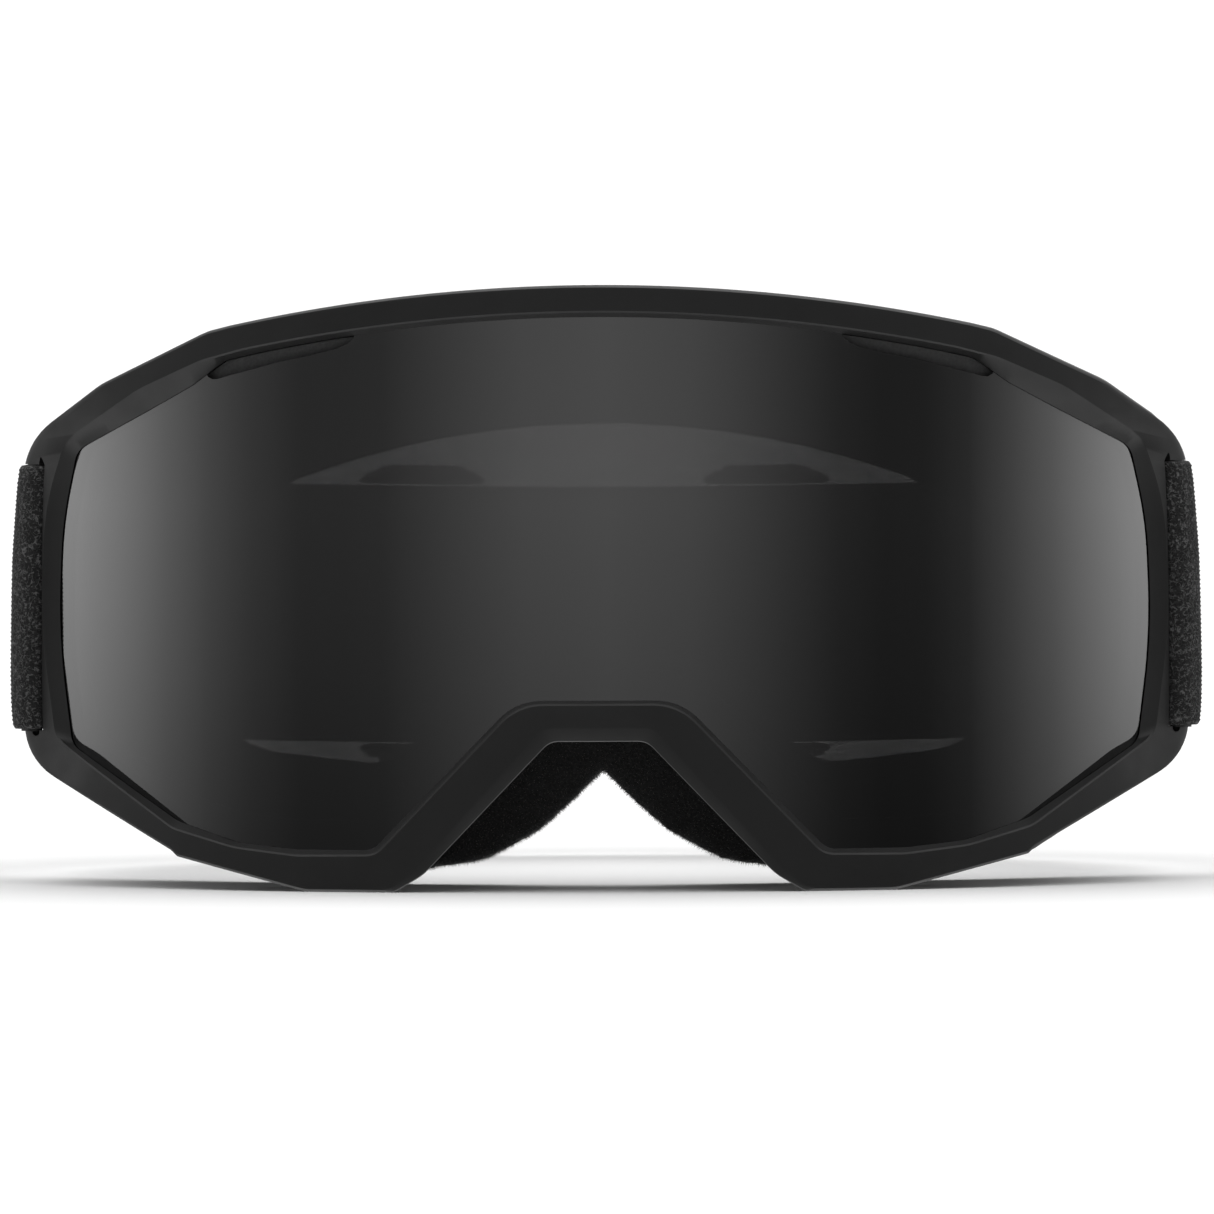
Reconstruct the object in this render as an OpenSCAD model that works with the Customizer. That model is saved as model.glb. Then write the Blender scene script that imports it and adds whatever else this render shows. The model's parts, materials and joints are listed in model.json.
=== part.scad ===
// Ski goggles: a moulded frame with a cylindrical double lens, face foam and a
// rear-adjusted elastic strap. Millimetres, +Z up, lens facing -Y, worn from +Y.
// The origin is the bottom centre of the whole object's box. "left" is the -X side.

/* [Frame] */
// Height of the frame's top edge at the middle
frame_top = 91.5; // [90:0.5:93]
// Half width of the rim at the strap bars
rim_half_w = 88.5; // [88.2:0.1:88.8]
// Radius of the rim's front face, seen from above
rim_r = 107.5; // [107.3:0.1:107.8]
// Thickness of the rim, front to back
rim_depth = 6.3; // [6:0.1:6.5]
// Thickness of the frame's wall and of the face flange
wall = 1.8; // [1.4:0.1:2]

/* [Lens] */
// Thickness of the outer lens
outer_lens_t = 1.2; // [1:0.1:1.3]
// Thickness of the inner lens
inner_lens_t = 0.8; // [0.6:0.1:1]
// Air gap between the two lenses
lens_gap = 4.0; // [3.5:0.1:4.5]

/* [Face foam] */
// Radius of the face that the foam follows, seen from above
face_r = 110; // [109:0.5:111]
// Thickness of the foam's base layer
foam_base_t = 9; // [7:0.5:10]
// Thickness of the fleece lining on the foam
foam_lining_t = 4; // [3:0.5:5]

/* [Strap] */
// Width of the elastic
strap_w = 40; // [38:1:41]
// Thickness of one ply of elastic
strap_t = 1.3; // [1:0.1:1.4]
// How far the strap hangs down towards the back, degrees
strap_tilt = 3.6; // [0:0.1:6]
// Angle of the left slider from the middle of the back
left_angle = -21.5; // [-30:0.5:-8]
// Angle of the right slider from the middle of the back
right_angle = 14.5; // [8:0.5:30]

/* [Sliders] */
// Length of a slider along the strap
slider_len = 19; // [17:0.5:20]
// Height of a slider's rail beyond the strap's edge
slider_rail_h = 2; // [1.9:0.1:2.4]

/* [Hidden] */
$fn = 180;
frame_colour = "#242424";
foam_colour = "#1b1b1b";
strap_colour = "#202020";

// The box's middle, measured back from the rim's front
box_mid_y = 89.96;

// Rim: its back, the lens groove and the thin wings that carry the strap bars
rim_axis_y = rim_r;
rim_back_r = rim_r - rim_depth;
outer_lens_r = rim_r - 2.4;
inner_lens_r = outer_lens_r - outer_lens_t - lens_gap;
groove_gap = 0.15;
wing_x = 83.6;
wing_t = 2.5;
body_x = 83;

// Face flange and foam
face_axis_y = 27 + face_r;
foam_base_r = face_r - foam_base_t;
foam_lining_r = foam_base_r - foam_lining_t;

// Strap path: bars, straight sides, then half a circle round the head
bar_r = wing_t / 2;
bar_track_r = rim_r - bar_r;
bar_angle = 55;
bar_half = 0.65;
ply_gap = 0.1;
head_y = 90;
merge_y = 64;
mid_r = 86.6;
outer_ply_r = mid_r + (strap_t + ply_gap) / 2;
inner_ply_r = mid_r - (strap_t + ply_gap) / 2;
strap_z = 43.7;
return_end_angle = 48;

// Hinge line of the strap's up and down swing
swing_y = 74;
swing_r = strap_w / 2 + 0.5;
swing_gap = 0.3;
wrap_end_y = swing_y - 10.5;

// Sliders
run_gap = 0.3;
slider_half_angle = slider_len / 2 / mid_r * 180 / PI;
tab_angle = 41;
tab_t = strap_t;
tab_r = inner_ply_r - strap_t / 2 - run_gap - tab_t / 2;
bar_width_angle = 2.6;
slider_outer_r = outer_ply_r + strap_t / 2 + run_gap + 1.4;
centre_bar_out_r = outer_ply_r - strap_t / 2 - run_gap;
tab_in_r = tab_r - tab_t / 2;

// ---- Outlines, seen from the front: right halves as [x, z, corner radius] ----

// Points of a shallow arch with its top at the middle
function arch(top, r, x_end, count) =
    [for (i = [0 : count]) let (x = x_end * i / count) [x, top - r + sqrt(r * r - x * x), 0]];

rim_half = concat(arch(frame_top, 256, 56, 6), [
    [59.5, 84.4, 8], [76, 76.3, 12], [rim_half_w, 67, 11], [rim_half_w, 19.2, 9],
    [65.3, 5.9, 0.4], [64.4, 5, 0.4], [44.5, 0, 8], [31, 0, 2.5],
    [26.6, 2.6, 8], [8.2, 22.2, 3], [0, 22.2, 0]
]);

opening_half = concat(arch(frame_top - 4.8, 247, 52, 5), [
    [56.5, 80.1, 3], [61.8, 76.2, 4], [79.9, 66, 3.5], [83, 42, 123],
    [80.9, 21.4, 3], [64.3, 10.3, 7], [55, 7.2, 14], [46, 6.3, 14],
    [34.3, 6.3, 3], [14.8, 26.4, 5], [8, 28.6, 8], [0, 28.8, 0]
]);

body_half = concat(arch(frame_top - 2.5, 253, 54, 6), [
    [57.5, 82.2, 8], [74.5, 74, 12], [body_x, 67.9, 5], [body_x, 16.6, 4],
    [64.4, 5, 8], [44.5, 0, 8], [31, 0, 2.5],
    [26.6, 2.6, 8], [8.2, 22.2, 3], [0, 22.2, 0]
]);

face_half = concat(arch(70.2, 130, 46, 5), [
    [55, 57, 14], [69.5, 44, 14], [66, 28, 14], [52, 20.5, 14],
    [33, 18.5, 8], [22, 27, 8], [12, 34, 8], [0, 35, 0]
]);

foam_half = concat(arch(frame_top - 3.5, 252, 54, 6), [
    [57, 81.2, 8], [74, 73.1, 12], [body_x - 1, 67.2, 6], [body_x - 1, 17, 6],
    [64.4, 5.7, 10], [45, 0.3, 10], [27, 2.8, 6], [18, 4.1, 10], [10, 8.4, 12], [4, 13.8, 6], [0, 17.8, 0]
]);

// Whole outline from its right half, clockwise from the top
function whole(half) = concat(
    half,
    [for (i = [len(half) - 2 : -1 : 1]) [-half[i][0], half[i][1], half[i][2]]]
);

function flat(p) = [p[0], p[1]];
function unit(v) = v / norm(v);
function cross2(a, b) = a[0] * b[1] - a[1] * b[0];

// Controls moved inwards by d, with their corner radii kept concentric
function inset(loop, d) = [
    for (i = [0 : len(loop) - 1]) let (
        p = flat(loop[i]),
        a = unit(p - flat(loop[(i + len(loop) - 1) % len(loop)])),
        b = unit(flat(loop[(i + 1) % len(loop)]) - p),
        na = [a[1], -a[0]],
        nb = [b[1], -b[0]],
        q = p + (na + nb) * d / (1 + na * nb),
        r = loop[i][2],
        grown = cross2(a, b) < 0 ? r - d : r + d
    ) [q[0], q[1], r == 0 ? 0 : max(grown, 0.6)]
];

// Arc that rounds the corner p between a and b
function corner(a, p, b, r) =
    let (
        u = unit(a - p), v = unit(b - p),
        half = acos(u * v) / 2,
        tangent = r / tan(half),
        centre = p + unit(u + v) * r / sin(half),
        s = p + u * tangent - centre,
        e = p + v * tangent - centre,
        start = atan2(s[1], s[0]),
        turn = (atan2(e[1], e[0]) - start + 540) % 360 - 180,
        steps = max(1, ceil(abs(turn) / 14))
    )
    [for (i = [0 : steps]) centre + r * [cos(start + turn * i / steps), sin(start + turn * i / steps)]];

function outline(loop) = [
    for (i = [0 : len(loop) - 1])
        let (
            a = flat(loop[(i + len(loop) - 1) % len(loop)]),
            p = flat(loop[i]),
            b = flat(loop[(i + 1) % len(loop)])
        )
        each (loop[i][2] == 0 ? [p] : corner(a, p, b, loop[i][2]))
];

rim = whole(rim_half);
opening = whole(opening_half);
body = whole(body_half);
face = whole(face_half);
foam = whole(foam_half);

// ---- Shared shapes ----

module placed() {
    translate([0, -box_mid_y, 0]) children();
}

// The strap's own frame: hangs down from the swing line at rest
module hung() {
    placed() translate([0, swing_y, strap_z]) rotate([-strap_tilt, 0, 0])
        translate([0, -swing_y, 0]) children();
}

module prism(loop, back = 78) {
    translate([0, back, 0]) rotate([90, 0, 0])
        linear_extrude(height = back + 2) polygon(outline(loop));
}

module post(r, y) {
    translate([0, y, -10]) cylinder(r = r, h = 120);
}

module shell(inner, outer, y) {
    difference() {
        post(outer, y);
        translate([0, y, -11]) cylinder(r = inner, h = 122);
    }
}

module both_sides() {
    children();
    mirror([1, 0, 0]) children();
}

// ---- Frame ----

// Middle of the wall's depth at x, and its slant there
function wall_y(x) =
    (rim_axis_y - sqrt(pow(rim_back_r, 2) - x * x) + face_axis_y - sqrt(pow(face_r + wall, 2) - x * x)) / 2;
function wall_slant(x) =
    atan((x / sqrt(pow(rim_back_r, 2) - x * x) + x / sqrt(pow(face_r + wall, 2) - x * x)) / 2);

module vent_window(x, z, roll, w, d) {
    translate([x, wall_y(x), z]) rotate([0, roll, 0]) rotate([0, 0, roll == 0 ? wall_slant(x) : 0])
        cube([w, d, 9], center = true);
}

module vents() {
    for (i = [-2 : 2]) vent_window(i * 21.5, frame_top - 4 - abs(i) * 1.6, 0, 16, 9);
    both_sides() {
        for (i = [0 : 2]) vent_window(63 + i * 6, 79 - i * 3.6, 30, 3.6, 10);
        for (i = [0 : 2]) vent_window(67 + i * 5, 6.5 + i * 3.1, -31, 3.2, 10);
        for (i = [0 : 1]) vent_window(37.5 + i * 12, 1, 0, 8, 8);
    }
}

module bar_outline() {
    translate(bar_mid) rotate(bar_angle) {
        translate([-bar_half, 0]) circle(r = bar_r, $fn = 48);
        translate([bar_half, 0]) circle(r = bar_r, $fn = 48);
        square([2 * bar_half, 2 * bar_r], center = true);
    }
}

// The slot beside each bar, open to the back for the strap; its inboard edge runs on past the elastic
slot_h = strap_w + 0.4;
slot_end_h = strap_w + 2;
module strap_slot() {
    translate([0, 0, strap_z - slot_h / 2]) linear_extrude(height = slot_h)
        polygon([[88.4, 41], [84.2, 44.2], [83.8, 46], [83.8, 70], [95, 70], [95, 41]]);
    translate([0, 0, strap_z - slot_end_h / 2]) linear_extrude(height = slot_end_h)
        polygon([[86.1, 40], [86.1, 43], [85, 44], [85, 47.4], [87.2, 47.4], [87.2, 40]]);
}

module rim_ring() {
    difference() {
        intersection() {
            prism(rim, 62);
            shell(rim_back_r, rim_r, rim_axis_y);
        }
        prism(opening);
        intersection() {
            prism(lens_loop(groove_gap), 62);
            shell(outer_lens_r - outer_lens_t - groove_gap, outer_lens_r + groove_gap, rim_axis_y);
        }
        both_sides() intersection() {
            translate([wing_x, 20, -5]) cube([20, 60, 110]);
            post(rim_r - wing_t, rim_axis_y);
        }
        both_sides() strap_slot();
    }
}

module frame_wall() {
    intersection() {
        difference() {
            prism(body);
            prism(inset(body, wall));
            post(face_r, face_axis_y);
        }
        post(rim_back_r + 0.3, rim_axis_y);
    }
}

module face_flange() {
    intersection() {
        difference() {
            prism(body);
            prism(face);
        }
        shell(face_r, face_r + wall, face_axis_y);
    }
}

module frame() {
    color(frame_colour) placed() difference() {
        union() {
            rim_ring();
            frame_wall();
            face_flange();
            both_sides() translate([0, 0, strap_z - slot_h / 2 - 0.5])
                linear_extrude(height = slot_h + 1) bar_outline();
        }
        vents();
    }
}

// ---- Lenses ----

// The lens sits deeper in the frame at the top and bottom than at the sides
lens_lip = 2.2;
lens_side_x = 82.9;
function lens_loop(extra) = [
    for (p = inset(opening, -lens_lip - extra))
        [max(-lens_side_x - extra, min(lens_side_x + extra, p[0])), p[1], p[2]]
];

// Notch in the lens's top edge on each side, which lets air in behind the rim
module lens_notch() {
    translate([0, 60, 0]) rotate([90, 0, 0]) linear_extrude(height = 62)
        polygon([[37.2, 92], [37.2, 83.4], [38.6, 82.1], [59.4, 77], [60.6, 77.4], [64, 80], [64, 92]]);
}

module outer_lens() {
    color("#2c2c2e") placed() difference() {
        intersection() {
            prism(lens_loop(0), 62);
            shell(outer_lens_r - outer_lens_t, outer_lens_r, rim_axis_y);
        }
        both_sides() lens_notch();
    }
}

module inner_lens() {
    color("#3a3a3c") placed() intersection() {
        prism(inset(opening, 1.4), 62);
        shell(inner_lens_r - inner_lens_t, inner_lens_r, rim_axis_y);
    }
}

gasket_side_x = 80.9;
function gasket_loop(d) = [
    for (p = inset(opening, d)) [max(-gasket_side_x, min(gasket_side_x, p[0])), p[1], p[2]]
];

module lens_gasket() {
    color("#111111") placed() intersection() {
        difference() {
            prism(gasket_loop(0.3), 62);
            prism(inset(opening, 4.4), 64);
        }
        shell(inner_lens_r, outer_lens_r - outer_lens_t, rim_axis_y);
    }
}

// ---- Foams ----

vent_foam_t = 3;
module vent_foam(x_from, x_to, z_from, z_to) {
    color(foam_colour) placed() intersection() {
        difference() {
            prism(inset(body, wall));
            prism(inset(body, wall + vent_foam_t), 80);
            post(face_r + wall, face_axis_y);
        }
        post(inner_lens_r - inner_lens_t - 0.3, rim_axis_y);
        translate([x_from, 0, z_from]) cube([x_to - x_from, 76, z_to - z_from]);
    }
}

module vent_foam_top() { vent_foam(-54, 54, 70, 95); }
module vent_foam_upper_right() { vent_foam(57, 81, 60, 95); }
module vent_foam_upper_left() { mirror([1, 0, 0]) vent_foam_upper_right(); }
module vent_foam_lower_right() { vent_foam(64, 81, 0, 22); }
module vent_foam_lower_left() { mirror([1, 0, 0]) vent_foam_lower_right(); }
module vent_foam_bottom_right() { vent_foam(31, 56, 0, 10); }
module vent_foam_bottom_left() { mirror([1, 0, 0]) vent_foam_bottom_right(); }

module foam_layer(inner, outer) {
    placed() intersection() {
        difference() {
            prism(foam, 92);
            prism(inset(face, -1), 94);
        }
        shell(inner, outer, face_axis_y);
    }
}

module face_foam_base() { color(foam_colour) foam_layer(foam_base_r, face_r); }
module face_foam_lining() { color("#161616") foam_layer(foam_lining_r, foam_base_r); }

// ---- Strap ----

// Both edges of a ply of thickness t along a centreline, with mitred bends
function side_of(line, d) = [
    for (i = [0 : len(line) - 1]) let (
        a = unit(line[max(i, 1)] - line[max(i, 1) - 1]),
        b = unit(line[min(i, len(line) - 2) + 1] - line[min(i, len(line) - 2)]),
        na = [a[1], -a[0]],
        nb = [b[1], -b[0]]
    ) line[i] + (na + nb) * d / (1 + na * nb)
];
function reversed(list) = [for (i = [len(list) - 1 : -1 : 0]) list[i]];
function ribbon(line, t) = concat(side_of(line, t / 2), reversed(side_of(line, -t / 2)));

function bend(centre, r, from, to, count) =
    [for (i = [0 : count]) centre + r * [cos(from + (to - from) * i / count), sin(from + (to - from) * i / count)]];

bar_mid = [bar_track_r * sin(bar_angle), rim_axis_y - bar_track_r * cos(bar_angle)];
bar_along = [cos(bar_angle), sin(bar_angle)];
inboard = bar_mid - bar_half * bar_along;
outboard = bar_mid + bar_half * bar_along;
ply_offset = bar_r + strap_t / 2 + 0.05;

outer_line = [outboard + [ply_offset, 0], [outer_ply_r, merge_y], [outer_ply_r, head_y]];
inner_line = [inboard - [ply_offset, 0], [inner_ply_r, merge_y], [inner_ply_r, head_y]];
wrap_line = concat(
    [inner_line[2], inner_line[1]],
    bend(inboard, ply_offset, 180, 270 + bar_angle, 10),
    bend(outboard, ply_offset, bar_angle - 90, 0, 4),
    [outer_line[1], outer_line[2]]
);

module ply_wall(line) {
    translate([0, 0, -strap_w / 2]) linear_extrude(height = strap_w) polygon(ribbon(line, strap_t));
}

module swing_disc(r) {
    translate([0, swing_y, 0]) rotate([0, 90, 0]) cylinder(r = r, h = 240, center = true);
}

module strap_wrap_right() {
    color(strap_colour) placed() translate([0, 0, strap_z]) difference() {
        ply_wall(wrap_line);
        swing_disc(swing_r + swing_gap);
        translate([60, wrap_end_y, -strap_w]) cube([60, 60, 2 * strap_w]);
    }
}

module strap_wrap_left() { mirror([1, 0, 0]) strap_wrap_right(); }

// Part of a circle round the head, from one angle to another off the back's middle
module arc_ply(r, t, w, from, to) {
    translate([0, head_y, 0]) rotate([0, 0, 90 - to]) rotate_extrude(angle = to - from)
        translate([r - t / 2, -w / 2]) square([t, w]);
}

// Keeps what is behind the swing line, with a round front end
module behind_swing() {
    intersection() {
        children();
        union() {
            swing_disc(swing_r);
            translate([-120, swing_y - 2, -strap_w]) cube([240, 120, 2 * strap_w]);
        }
    }
}

module strap_band() {
    color(strap_colour) hung() union() {
        both_sides() behind_swing() ply_wall(outer_line);
        arc_ply(outer_ply_r, strap_t, strap_w, -90, 90);
    }
}

module strap_return_right() {
    color(strap_colour) hung() union() {
        behind_swing() ply_wall(inner_line);
        arc_ply(inner_ply_r, strap_t, strap_w, return_end_angle, 90);
    }
}

module strap_return_left() { mirror([1, 0, 0]) strap_return_right(); }

// ---- Sliders ----

rail_low = strap_w / 2 + run_gap;
bump_count = 5;
bump_r = 1.4;
module slider(angle) {
    bar_reach = slider_half_angle - bar_width_angle / 2 - 0.2;
    color("#1e1e1e") hung() turned(angle) {
        both_edges() {
            translate([0, 0, rail_low + slider_rail_h / 2]) arc_ply(
                (slider_outer_r + tab_in_r) / 2, slider_outer_r - tab_in_r, slider_rail_h,
                -slider_half_angle, slider_half_angle
            );
            for (i = [0 : bump_count - 1]) slider_bump((i - (bump_count - 1) / 2) * slider_half_angle * 0.4);
        }
        for (side = [-1, 1]) slider_bar(slider_outer_r - 1.4, slider_outer_r - 0.2, side * bar_reach);
        slider_bar(tab_in_r + tab_t, centre_bar_out_r, 0);
    }
}

// Moves a shape round the head by an angle off the back's middle
module turned(angle) {
    translate([0, head_y, 0]) rotate([0, 0, -angle]) translate([0, -head_y, 0]) children();
}

module both_edges() {
    children();
    mirror([0, 0, 1]) children();
}

module slider_bump(angle) {
    turned(angle) translate([0, head_y + tab_in_r + 0.5, rail_low + slider_rail_h - 0.4]) rotate([-90, 0, 0])
        cylinder(r = bump_r, h = slider_outer_r - tab_in_r - 1, $fn = 32);
}

module slider_bar(inner, outer, angle) {
    arc_ply(
        (inner + outer) / 2, outer - inner, 2 * rail_low + 1,
        angle - bar_width_angle / 2, angle + bar_width_angle / 2
    );
}

module slider_left() { slider(left_angle); }
module slider_right() { slider(right_angle); }

// Sewn end of the elastic, which slides along the return ply with its slider
tab_w = strap_w - 1;
module slider_tab(angle, side) {
    near = angle - side * bar_width_angle / 2;
    far = angle + side * tab_angle;
    color(strap_colour) hung() arc_ply(tab_r, tab_t, tab_w, min(near, far), max(near, far));
}

module slider_tab_left() { slider_tab(left_angle, -1); }
module slider_tab_right() { slider_tab(right_angle, 1); }

// Stitches lie on the tab's inner face
stitch_len = 2.2;
stitch_t = 0.4;
stitch_pitch = 3;
stitch_rows = [3.2, 5.2];
module tab_stitching(angle, side) {
    color("#303030") hung() for (row = stitch_rows, i = [-5.5 : 5.5])
        translate([0, head_y, i * stitch_pitch]) rotate([0, 0, -(angle + side * row)])
            translate([0, tab_in_r - stitch_t / 2, 0]) cube([0.5, stitch_t, stitch_len], center = true);
}

module tab_stitching_left() { tab_stitching(left_angle, -1); }
module tab_stitching_right() { tab_stitching(right_angle, 1); }

// ---- The assembly ----

frame();
outer_lens();
inner_lens();
lens_gasket();
vent_foam_top();
vent_foam_upper_left();
vent_foam_upper_right();
vent_foam_lower_left();
vent_foam_lower_right();
vent_foam_bottom_left();
vent_foam_bottom_right();
face_foam_base();
face_foam_lining();
strap_wrap_left();
strap_wrap_right();
strap_band();
strap_return_left();
strap_return_right();
slider_left();
slider_right();
slider_tab_left();
slider_tab_right();
tab_stitching_left();
tab_stitching_right();
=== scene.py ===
import bmesh
import bpy
import json
import math
import random
from mathutils import Matrix, Quaternion, Vector, noise


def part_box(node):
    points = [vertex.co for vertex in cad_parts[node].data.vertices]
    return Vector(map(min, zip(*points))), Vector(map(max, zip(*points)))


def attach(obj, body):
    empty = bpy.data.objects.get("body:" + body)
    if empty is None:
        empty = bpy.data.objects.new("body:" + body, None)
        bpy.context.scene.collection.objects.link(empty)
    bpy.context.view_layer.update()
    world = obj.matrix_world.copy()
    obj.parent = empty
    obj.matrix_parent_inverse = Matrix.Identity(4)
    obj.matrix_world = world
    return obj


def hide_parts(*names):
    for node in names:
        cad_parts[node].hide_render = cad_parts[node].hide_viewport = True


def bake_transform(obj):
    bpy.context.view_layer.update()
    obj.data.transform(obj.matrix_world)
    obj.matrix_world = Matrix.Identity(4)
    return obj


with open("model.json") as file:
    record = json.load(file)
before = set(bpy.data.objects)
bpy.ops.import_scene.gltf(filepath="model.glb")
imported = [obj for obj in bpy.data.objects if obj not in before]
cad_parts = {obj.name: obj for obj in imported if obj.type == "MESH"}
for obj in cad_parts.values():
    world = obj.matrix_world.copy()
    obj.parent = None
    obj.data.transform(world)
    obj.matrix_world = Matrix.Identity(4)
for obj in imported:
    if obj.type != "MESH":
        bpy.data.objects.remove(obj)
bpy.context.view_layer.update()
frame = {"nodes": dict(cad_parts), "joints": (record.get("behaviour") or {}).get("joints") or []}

# ---- Sizes: millimetres, with y measured back from the rim's front at the middle ----

MM = 0.001
FRONT_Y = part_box("frame")[0].y
JOINTS = {joint["name"]: joint for joint in frame["joints"]}

# Circles seen from above: the rim and the lenses share one axis, the face and its foam the other
RIM_AXIS = 107.5
FACE_AXIS = 137.0
RIM_FRONT_R = 107.5
RIM_BACK_R = 101.2
WING_BACK_R = 105.0
WING_X = 83.6
OUTER_LENS_R = (103.9, 105.1)
INNER_LENS_R = (99.1, 99.9)
GROOVE_R = (103.75, 105.25)
FLANGE_R = (110.0, 111.8)
LINING_R = (97.0, 101.0)
WALL = 1.8
LENS_SIDE_X = 82.9
GASKET_X = 80.9

# Strap bars and elastic
BAR_R = 1.25
BAR_INBOARD = Vector((86.66, 46.03))
BAR_OUTBOARD = Vector((87.41, 47.09))
BAR_ANGLE = 55
STRAP_Z = JOINTS["strap_swing"]["pos_m"][2] / MM
STRAP_W = 40.0
STRAP_T = 1.3
OUTER_PLY_R = 87.3
INNER_PLY_R = 85.9
PLY_OFFSET = BAR_R + STRAP_T / 2 + 0.05
MERGE_Y = 64.0
HEAD_Y = 90.0
RETURN_END = 48
SLOT_HALF = 20.2
LEAN_FROM = 49
LEAN_TO = 71

# The elastic's mesh: rib spacing and heights, points across each rib, and steps along the strap
RIB_PITCH = 0.66
RIB_HEIGHT = 0.08
BEAT_HEIGHT = 0.03
OUTER_PER_RIB = 3
INNER_PER_RIB = 2
FINE_BEFORE_Y = 50
FINE_STEP = 0.45
COARSE_STEP = 1.12

# The strap swings on the record's joint, and hangs down behind it by the sliders' tilt
SWING_Y = (JOINTS["strap_swing"]["pos_m"][1] - FRONT_Y) / MM
TILT = math.atan2(JOINTS["slider_left_slide"]["axis"][1], JOINTS["slider_left_slide"]["axis"][2])
BEND_FROM = SWING_Y - 20
BEND_TO = SWING_Y + 20

# Sliders and the sewn tabs behind them
SLIDER_ANGLES = {"left": -21.5, "right": 14.5}
SLIDER_HALF = 6.285
SLIDER_R = (83.65, 89.65)
RAIL_Z = (20.3, 22.3)
BUMP_COUNT = 5
BUMP_R = 1.9
BUMP_PITCH = 2.6
RAIL_END_R = 2.8
TAB_R = 84.3
TAB_W = 39.0
TAB_LEN = 41
BAR_HALF_ANGLE = 1.3
STITCH_ROWS = (3.2, 5.2)
STITCHES = 12
STITCH_PITCH = 3
STITCH_HALF = 1.1
STITCH_R = 0.2


def at(x, y, z):
    return Vector((x * MM, FRONT_Y + y * MM, z * MM))


def rim_y(x, r):
    return RIM_AXIS - math.sqrt(r * r - x * x)


def face_y(x, r):
    return FACE_AXIS - math.sqrt(r * r - x * x)


def smooth_step(t):
    t = min(max(t, 0), 1)
    return t * t * (3 - 2 * t)


# ---- Camera, floor and light ----

CAMERA_AZIMUTH = 1.5
CAMERA_ELEVATION = 1.5
CAMERA_ROLL = -0.25
CAMERA_AWAY = 5.0
CAMERA_TARGET = (0.65, 30, 42.3)


def add_camera():
    azimuth, elevation = math.radians(CAMERA_AZIMUTH), math.radians(CAMERA_ELEVATION)
    back = Vector((
        math.sin(azimuth) * math.cos(elevation),
        -math.cos(azimuth) * math.cos(elevation),
        math.sin(elevation),
    ))
    data = bpy.data.cameras.new("camera")
    data.sensor_width = 36
    data.lens = 979
    camera = bpy.data.objects.new("camera", data)
    camera.location = at(*CAMERA_TARGET) + back * CAMERA_AWAY
    camera.rotation_mode = "QUATERNION"
    roll = Quaternion((0, 0, 1), math.radians(CAMERA_ROLL))
    camera.rotation_quaternion = (-back).to_track_quat("-Z", "Y") @ roll
    bpy.context.scene.collection.objects.link(camera)
    bpy.context.scene.camera = camera


# Studio light near the horizon: degrees round from the lens's front, and brightness. Dark flags
# stand on both sides of a soft panel in front, and the walls behind are white. Above and below
# this band the room is dim, and a soft box fills the ceiling, brighter towards the back.
STUDIO = [
    (-180, 1.2), (-112, 1.2), (-101, 1.1), (-90, 0.78), (-80, 0.47), (-71, 0.27), (-63, 0.165),
    (-53, 0.1), (-45, 0.1), (-38, 0.11), (-30, 0.165), (-22, 0.225), (-14, 0.28), (0, 0.315),
    (14, 0.268), (22, 0.208), (30, 0.142), (39, 0.08), (47, 0.058), (55, 0.062), (63, 0.1),
    (71, 0.22), (80, 0.41), (90, 0.73), (101, 1.1), (112, 1.2), (180, 1.2),
]
STUDIO_PEAK = 2.4
STUDIO_MIDDLE = 0.3
CEILING_FRONT = 1.3
CEILING_BACK = 2.3


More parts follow.
